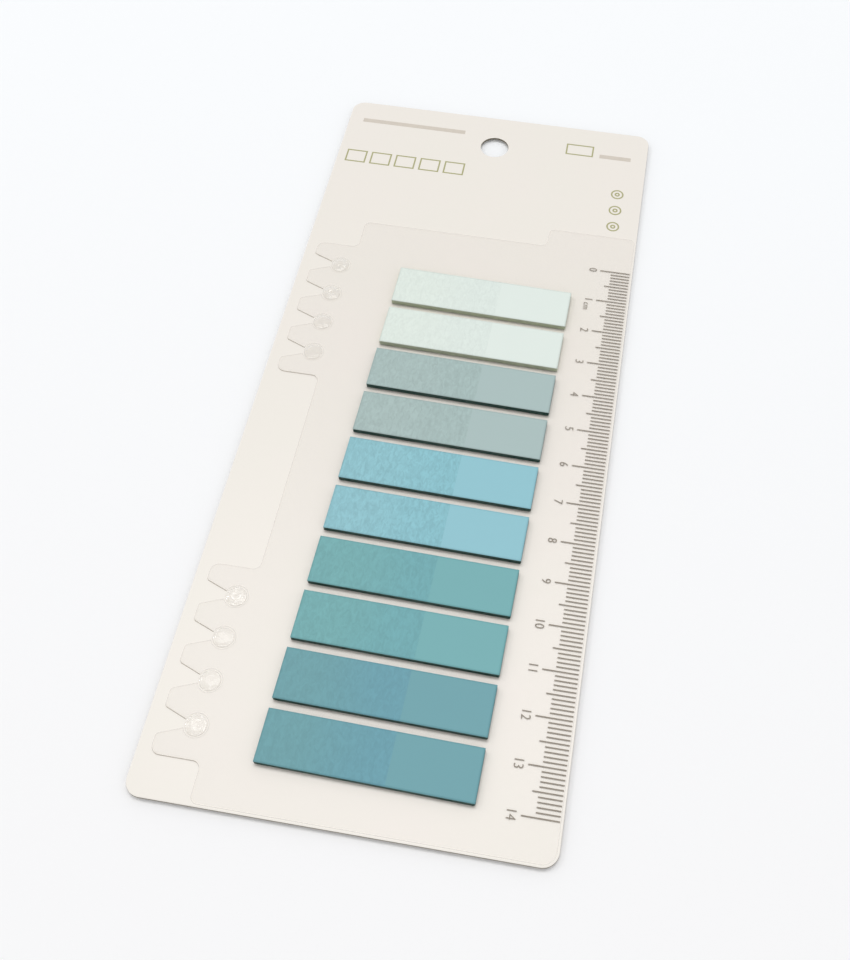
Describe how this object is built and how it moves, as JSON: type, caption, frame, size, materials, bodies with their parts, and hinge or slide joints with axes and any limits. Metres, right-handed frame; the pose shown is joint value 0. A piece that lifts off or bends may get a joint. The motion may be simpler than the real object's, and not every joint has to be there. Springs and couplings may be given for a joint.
{
  "type": "sticky index tabs",
  "caption": "Rectangular pads of sticky index tabs in a column on a clear die-cut ruler sheet with an open-hole binder edge, on a hanging backing card with rounded corners.",
  "frame": {"origin": "centre of the backing card's flat back, the face it lies on", "axes": "+Y up the card towards the hang hole, +X to the right with the ruler, +Z out of the printed face"},
  "size_m": [0.084, 0.201, 0.002],
  "materials": {
    "card": "cream card, satin laminate",
    "clear_film": "clear smooth film with cut edges",
    "clear_glue": "clear wet-looking glue dots",
    "pale_mint_tabs": "thin film leaves, frosted where the adhesive is",
    "grey_blue_tabs": "thin film leaves, frosted where the adhesive is",
    "sky_blue_tabs": "thin film leaves, frosted where the adhesive is",
    "sea_green_tabs": "thin film leaves, frosted where the adhesive is",
    "teal_tabs": "thin film leaves, frosted where the adhesive is"
  },
  "bodies": {
    "root": {"backing_card": "card", "ruler_sheet": "clear_film", "glue_dot_1": "clear_glue", "glue_dot_2": "clear_glue", "glue_dot_3": "clear_glue", "glue_dot_4": "clear_glue", "glue_dot_5": "clear_glue", "glue_dot_6": "clear_glue", "glue_dot_7": "clear_glue", "glue_dot_8": "clear_glue", "tab_pad_01": "pale_mint_tabs", "tab_pad_02": "pale_mint_tabs", "tab_pad_03": "grey_blue_tabs", "tab_pad_04": "grey_blue_tabs", "tab_pad_05": "sky_blue_tabs", "tab_pad_06": "sky_blue_tabs", "tab_pad_07": "sea_green_tabs", "tab_pad_08": "sea_green_tabs", "tab_pad_09": "teal_tabs", "tab_pad_10": "teal_tabs"}
  },
  "joints": []
}
